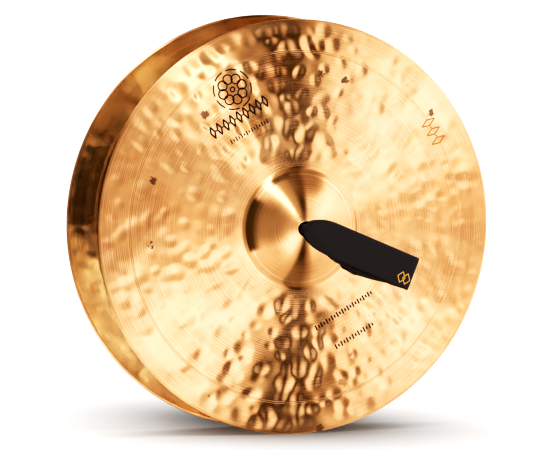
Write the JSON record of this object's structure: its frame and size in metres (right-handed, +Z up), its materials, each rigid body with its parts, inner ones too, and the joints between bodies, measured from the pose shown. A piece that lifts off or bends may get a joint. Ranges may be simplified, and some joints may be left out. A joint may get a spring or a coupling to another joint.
{
  "type": "hand cymbals",
  "caption": "Pair of hammered bronze hand cymbals standing on edge and facing each other, each with a folded leather hand loop knotted through its bell.",
  "frame": {"origin": "on the cymbals' common axis, midway between the two rim planes at rest", "axes": "+Z up as the cymbals stand on edge; Y is the common axis: the front cymbal's bell faces -Y and the rear cymbal's bell faces +Y; +X is to the right seen from the front"},
  "size_m": [0.4064, 0.172, 0.4064],
  "materials": {
    "bronze": "hammered and lathed, bright",
    "leather": "satin, smooth grain"
  },
  "bodies": {
    "front_cymbal": {"front_cymbal": "bronze"},
    "front_knot": {"front_tail_a": "leather", "front_tail_b": "leather", "front_tail_c": "leather", "front_tail_d": "leather"},
    "front_grip": {"front_grip": "leather"},
    "rear_cymbal": {"rear_cymbal": "bronze"},
    "rear_knot": {"rear_tail_a": "leather", "rear_tail_b": "leather", "rear_tail_c": "leather", "rear_tail_d": "leather"},
    "rear_grip": {"rear_grip": "leather"}
  },
  "joints": [
    {"name": "front_strap_spin", "type": "hinge", "parent": "front_cymbal", "child": "front_knot", "pos_m": [0, -0.083, 0], "axis": [0, -1, 0], "continuous": true},
    {"name": "front_strap_lift", "type": "hinge", "parent": "front_knot", "child": "front_grip", "pos_m": [0, -0.083, 0], "axis": [-0.3795, 0, -0.9252], "range_deg": [0, 100]},
    {"name": "rear_strap_spin", "type": "hinge", "parent": "rear_cymbal", "child": "rear_knot", "pos_m": [0, 0.083, 0], "axis": [0, 1, 0], "continuous": true},
    {"name": "rear_strap_lift", "type": "hinge", "parent": "rear_knot", "child": "rear_grip", "pos_m": [0, 0.083, 0], "axis": [0.3795, 0, -0.9252], "range_deg": [0, 100]},
    {"name": "pair_approach", "type": "slide", "parent": "front_cymbal", "child": "rear_cymbal", "axis": [0, 1, 0], "range_m": [-0.0895, 0.4]}
  ]
}
